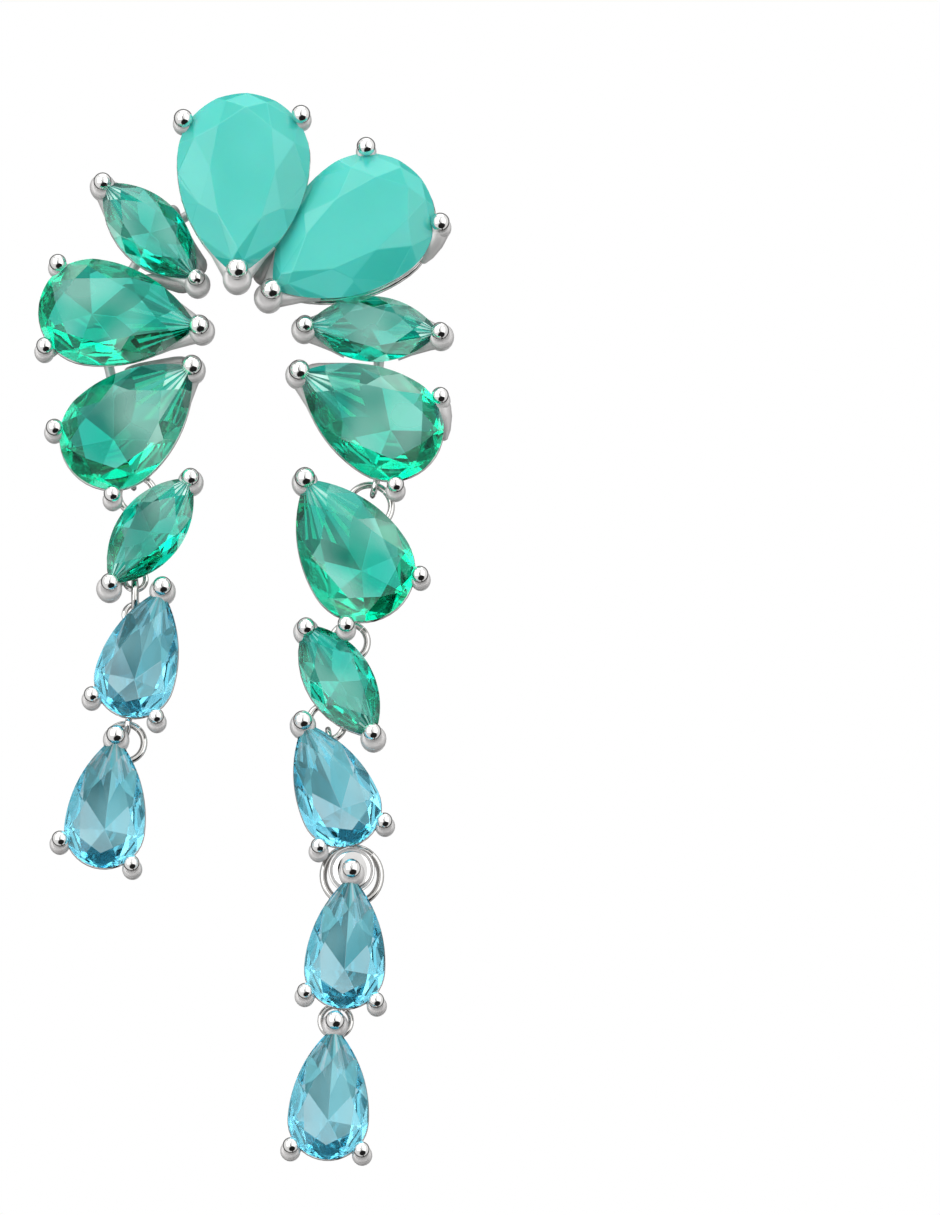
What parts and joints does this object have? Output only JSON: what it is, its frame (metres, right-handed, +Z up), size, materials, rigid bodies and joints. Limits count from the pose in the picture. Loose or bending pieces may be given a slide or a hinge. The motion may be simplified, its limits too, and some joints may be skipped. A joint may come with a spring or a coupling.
{
  "type": "drop earring",
  "caption": "Left drop earring: a rigid arch of pear and marquise stones in prong baskets on an ear post, with two strands of stones in settings linked by jump rings.",
  "frame": {"origin": "where the ear post leaves the flat back of the top setting, on the post's axis", "axes": "+Z up the earring as it hangs, -Y out of its face towards the viewer, +Y along the post into the ear, +X to the viewer's right"},
  "size_m": [0.0316, 0.0175, 0.081],
  "materials": {
    "plated_metal": "polished silver-toned plating over cast brass",
    "mint_stone": "faceted milky mint glass, polished",
    "green_stone": "faceted clear sea-green glass, polished",
    "blue_stone": "faceted clear sky-blue glass, polished"
  },
  "bodies": {
    "root": {"arch_frame": "plated_metal", "setting_short_marquise": "plated_metal", "setting_short_blue_upper": "plated_metal", "setting_short_blue_lower": "plated_metal", "setting_long_pear": "plated_metal", "setting_long_marquise": "plated_metal", "setting_long_blue_upper": "plated_metal", "setting_long_blue_middle": "plated_metal", "setting_long_blue_lower": "plated_metal", "stone_top_pear": "mint_stone", "stone_upper_right_pear": "mint_stone", "stone_left_marquise": "green_stone", "stone_left_pear_upper": "green_stone", "stone_left_pear_lower": "green_stone", "stone_right_marquise": "green_stone", "stone_right_pear": "green_stone", "stone_short_marquise": "green_stone", "stone_short_blue_upper": "blue_stone", "stone_short_blue_lower": "blue_stone", "stone_long_pear": "green_stone", "stone_long_marquise": "green_stone", "stone_long_blue_upper": "blue_stone", "stone_long_blue_middle": "blue_stone", "stone_long_blue_lower": "blue_stone", "jump_ring_short_1": "plated_metal", "jump_ring_short_2": "plated_metal", "jump_ring_short_3": "plated_metal", "jump_ring_long_1": "plated_metal", "jump_ring_long_2": "plated_metal", "jump_ring_long_3": "plated_metal", "jump_ring_long_4": "plated_metal", "jump_ring_long_5": "plated_metal"}
  },
  "joints": []
}
